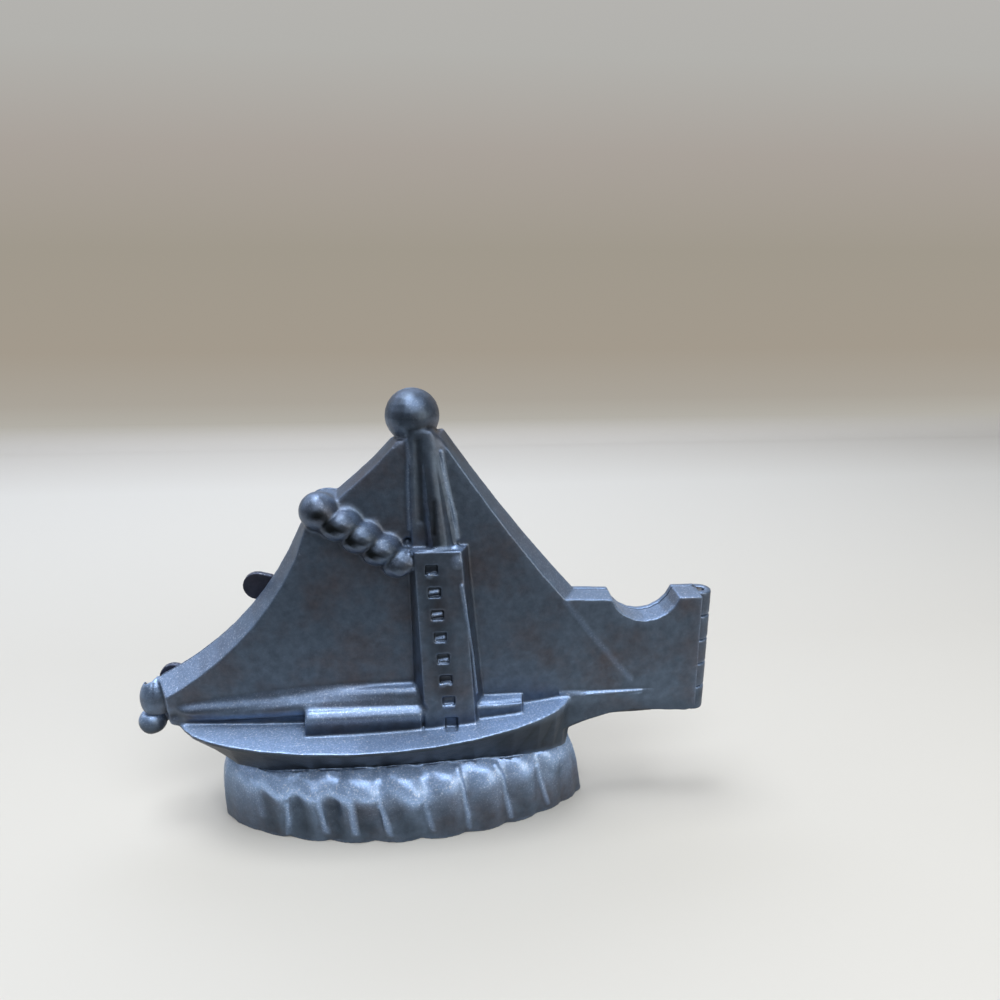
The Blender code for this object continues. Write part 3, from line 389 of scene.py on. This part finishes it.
def under_stroke(points, facing, stroke, side):
    """Outer points that a stroke touches, undersides apart, and how strongly, from 0 to 1."""
    path = np.array([place(point, side) for point in stroke[0]])
    half = stroke[1] * MM
    close = ((points > path.min(0) - half) & (points < path.max(0) + half)).all(1)
    outside = facing[:, 0] * (points[:, 0] - BOAT_X * MM) + facing[:, 1] * points[:, 1] > 0
    touched = np.flatnonzero(close & outside)
    share = np.clip(1 - (distance(points[touched], path) / half) ** 2, 0, 1) ** 2
    return touched, share * np.clip(1 + 3 * facing[touched, 2], 0, 1)


def relax(mesh, weight, rounds):
    """Draws the skin smooth as strongly as the weight says."""
    points, edges = places_of(mesh), edges_of(mesh)
    for _ in range(rounds):
        points += weight[:, None] * (neighbours_mean(points, edges) - points)
    mesh.vertices.foreach_set("co", points.ravel())


def melt_together(mesh, side):
    """Rounds the waves between rim and hull, and the blends between neighbouring shapes."""
    points = places_of(mesh)
    height = points[:, 2] / MM
    weight = np.clip(height - 0.8, 0, 1) * np.clip((15.8 - height) / 1.2, 0, 1) * RELAX_SHARE
    for path, reach in BLENDS:
        gap = distance(points, np.array([place(point, side) for point in path])) / (reach * MM)
        weight = np.maximum(weight, np.clip(1 - gap ** 2, 0, 1) * RELAX_SHARE)
    relax(mesh, weight, RELAX_ROUNDS)


def sculpt(mesh, side, strokes):
    """Raises or sinks the skin along each stroke."""
    points, facing = places_of(mesh), normals_of(mesh)
    for stroke in strokes:
        touched, share = under_stroke(points, facing, stroke, side)
        points[touched] += facing[touched] * (share * stroke[2] * MM)[:, None]
    mesh.vertices.foreach_set("co", points.ravel())


def mark_wear_and_painted_light(mesh, side):
    """Writes how much painted highlight with wear, and painted shade with grime, each point gets,
    from bend, slope and strokes.
    """
    points, facing, edges = places_of(mesh), normals_of(mesh), edges_of(mesh)
    smooth = points.copy()
    for _ in range(BEND_ROUNDS):
        smooth = neighbours_mean(smooth, edges)
    bend = ((points - smooth) * facing).sum(1) / MM
    height = points[:, 2] / MM
    # Painted highlight on up-facing skin, fading with height, and on the swelling tops of the
    # waves
    highlight_by_height = np.clip(1.25 - height / 75, 0, 1)
    swell = np.clip((height - 3.5) / 9, 0, 1) * np.clip(16 - height, 0, 1)
    wear_and_highlight = np.clip((facing[:, 2] - 0.1) / 0.8, 0, 1) * highlight_by_height + np.clip(bend / 0.3, 0, 1) * 0.12
    wear_and_highlight += swell * np.clip(1 + 3 * facing[:, 2], 0, 1) * 0.24
    # Painted shade in creases, under overhangs and on the hull's sides, with grime in creases
    grime_and_shade = np.clip(-bend / 0.35, 0, 1) * 0.45 + np.clip(-facing[:, 2] - 0.15, 0, 0.5) * 0.7
    flank = np.clip((height - 15.5) / 2, 0, 1) * np.clip((29 - height) / 3, 0, 1)
    grime_and_shade += flank * np.clip(0.35 - facing[:, 2], 0, 0.5) * 1.1
    if side:
        for stroke in WAVES + RELIEF:
            touched, share = under_stroke(points, facing, stroke, side)
            change = wear_and_highlight if stroke[3] > 0 else grime_and_shade
            change[touched] += share * abs(stroke[3])
    for name, values in (("wear_and_highlight", wear_and_highlight), ("grime_and_shade", grime_and_shade)):
        mesh.attributes.new(name, "FLOAT", "POINT").data.foreach_set(
            "value", np.clip(values, 0, 1).astype(np.float32))


def cast(name, bm, voxel, side=None):
    """Melts overlapping shapes into one casting, works its relief and roughens its skin."""
    made = stand_up(name, bm)
    melt = made.modifiers.new("melt", "REMESH")
    melt.mode, melt.voxel_size, melt.adaptivity = "VOXEL", voxel * MM, 0.0
    soften = made.modifiers.new("soften", "SMOOTH")
    soften.factor, soften.iterations = 0.5, 4
    settle(made)
    if side:
        sculpt(made.data, side, WAVES)
        melt_together(made.data, side)
        sculpt(made.data, side, RELIEF)
    uneven = bpy.data.textures.new(name + "_skin", "CLOUDS")
    uneven.noise_scale, uneven.noise_depth = SKIN_PITCH * MM, 2
    skin = made.modifiers.new("skin", "DISPLACE")
    skin.texture, skin.strength, skin.mid_level = uneven, SKIN_DEPTH * MM, 1.0
    skin.texture_coords = "LOCAL"
    thin = made.modifiers.new("thin", "DECIMATE")
    thin.ratio = min(1.0, MOST_TRIANGLES / (2 * len(made.data.polygons)))
    settle(made)
    made.data.shade_smooth()
    mark_wear_and_painted_light(made.data, side)
    return made


def finish_piece(made, material, body, node):
    """Gives a piece its material and body, and lets it stand for its CAD node."""
    made.data.materials.clear()
    made.data.materials.append(material)
    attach(made, body)
    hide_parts(node)


# The pale blue-grey of the pewter is painted highlight, with some real wear
old_pewter = cast_metal("old_cast_pewter", "#5D6C7F", "#5C5D66", "#A4C5F4", 0.44)
# The tabs are the same pewter in darker tones: painted shade, as they stand in shade
tab_pewter = cast_metal("shade_darkened_tab_pewter", "#3F4352", "#453F47", "#6C7A98", 0.52)
wire = drawn_wire("drawn_pin_wire")
finish_piece(cast("front_casting", copy_of("front_half"), VOXEL, FRONT),
             old_pewter, "front", "front_half")
finish_piece(cast("back_casting", copy_of("back_half"), VOXEL, BACK),
             old_pewter, "back", "back_half")
for tab in ("upper_pry_tab", "lower_pry_tab"):
    finish_piece(cast(tab + "_tongue", copy_of(tab), TAB_VOXEL), tab_pewter, "back",
                 tab)
for pin, body in (("hinge_pin", "hinge_wire"), ("bow_pin", "bow_wire")):
    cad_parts[pin].data.materials.clear()
    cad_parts[pin].data.materials.append(wire)


def backdrop():
    """Pale table that ends just below the picture and runs up into a tan wall that glows by
    itself. The table's tone, lighter in the middle and darker at both ends, is painted light and
    shade, and the wall's glow paints its light.
    """
    bm = bmesh.new()
    bmesh.ops.create_grid(bm, x_segments=1, y_segments=1, size=1.0,
                          matrix=Matrix.Translation((0.0, WALL_Y - 1.0, 0.0)))
    for vert in bm.verts:
        vert.co.y = max(vert.co.y, TABLE_EDGE_Y)
    rear = [edge for edge in bm.edges
            if all(vert.co.y > WALL_Y - 0.01 for vert in edge.verts)]
    up = bmesh.ops.extrude_edge_only(bm, edges=rear)["geom"]
    bmesh.ops.translate(bm, verts=[v for v in up if isinstance(v, bmesh.types.BMVert)],
                        vec=(0.0, 0.0, WALL_HEIGHT))
    bmesh.ops.bevel(bm, geom=rear, offset=COVE, segments=24, profile=0.5, affect="EDGES",
                    material=-1)
    bmesh.ops.recalc_face_normals(bm, faces=bm.faces)
    made = stand_up("table_and_wall", bm)
    made.data.shade_smooth()
    material, tree = new_material("painted_backdrop")
    place_on = add(tree, "ShaderNodeTexCoord").outputs["Object"]
    apart = add(tree, "ShaderNodeSeparateXYZ", {"Vector": place_on})
    height = apart.outputs["Z"]
    share = add(tree, "ShaderNodeMapRange", {"Value": height, "From Min": 0.0,
                                             "From Max": WALL_TONES_HEIGHT
                                             }).outputs["Result"]
    # Painted light of the wall: a glow whose tone changes up the wall
    tone = add(tree, "ShaderNodeValToRGB", {"Fac": share}, stops=WALL_TONES).outputs["Color"]
    rise = add(tree, "ShaderNodeMapRange", {"Value": height, "From Min": 0.0,
                                            "From Max": GLOW_RISE}).outputs["Result"]
    away = add(tree, "ShaderNodeMapRange", {"Value": apart.outputs["Y"],
                                            "From Min": TABLE_TONES_FROM_Y,
                                            "From Max": WALL_Y}).outputs["Result"]
    # Painted light and shade of the table: its tone from the near edge to the wall
    table = add(tree, "ShaderNodeValToRGB", {"Fac": away}, stops=TABLE_TONES).outputs["Color"]
    paint = add(tree, "ShaderNodeBsdfPrincipled", {"Base Color": table,
                                                   "Roughness": 0.9,
                                                   "Specular IOR Level": 0.1})
    glow = add(tree, "ShaderNodeEmission", {"Color": tone})
    both = add(tree, "ShaderNodeMixShader", {"Fac": rise, 1: paint.outputs["BSDF"],
                                             2: glow.outputs["Emission"]})
    add(tree, "ShaderNodeOutputMaterial", {"Surface": both.outputs["Shader"]})
    made.data.materials.append(material)


def softbox(name, at, aim, size, watts, tint):
    """Lamp with a wide front at one place, aimed at another, that the camera doesn't see."""
    data = bpy.data.lights.new(name, "AREA")
    data.shape, data.size, data.size_y, data.energy = "RECTANGLE", size[0], size[1], watts
    data.color = colour(tint)[:3]
    made = bpy.data.objects.new(name, data)
    bpy.context.scene.collection.objects.link(made)
    made.location = at
    made.rotation_euler = (Vector(aim) - Vector(at)).to_track_quat("-Z", "Y").to_euler()
    made.visible_camera = False


# Even light from above and in front, with weak fills behind and at both sides
backdrop()
softbox("sky_softbox", (-0.15, 0.0, 0.90), (0, 0.02, 0.0), (0.42, 0.36), 4.0, "#FBFCFF")
softbox("front_softbox", (0.08, -0.42, 0.54), (0, 0, 0.0), (0.6, 0.45), 2.6, "#F6F9FF")
softbox("rear_softbox", (-0.06, 0.40, 0.52), (0, 0, 0.05), (0.7, 0.3), 1.0, "#DCE6FF")
softbox("left_softbox", (-0.55, 0.05, 0.42), (0, 0, 0.05), (0.4, 0.4), 0.5, "#F1F4FF")
softbox("right_softbox", (0.42, -0.42, 0.16), (0.04, 0, 0.04), (0.4, 0.3), 1.0, "#FFF3E2")

world = bpy.data.worlds.new("soft_room")
world.use_nodes = True
world.node_tree.nodes.clear()
room = add(world.node_tree, "ShaderNodeBackground", {"Color": colour("#DEDFE0"),
                                                     "Strength": 0.14})
add(world.node_tree, "ShaderNodeOutputWorld", {"Surface": room.outputs["Background"]})
bpy.context.scene.world = world

# Height, distance, tilt and lens of the photograph, fitted to the outline of the mould
camera_data = bpy.data.cameras.new("camera")
camera_data.lens, camera_data.sensor_width = 27.036, 36.0
camera_data.clip_start = 0.01
camera = bpy.data.objects.new("camera", camera_data)
camera.location = (0.00240, -0.1616, 0.12312)
camera.rotation_euler = (math.radians(74.0), 0.0, math.radians(-5.2))
bpy.context.scene.collection.objects.link(camera)
bpy.context.scene.camera = camera
bpy.context.scene.view_settings.view_transform = "Standard"
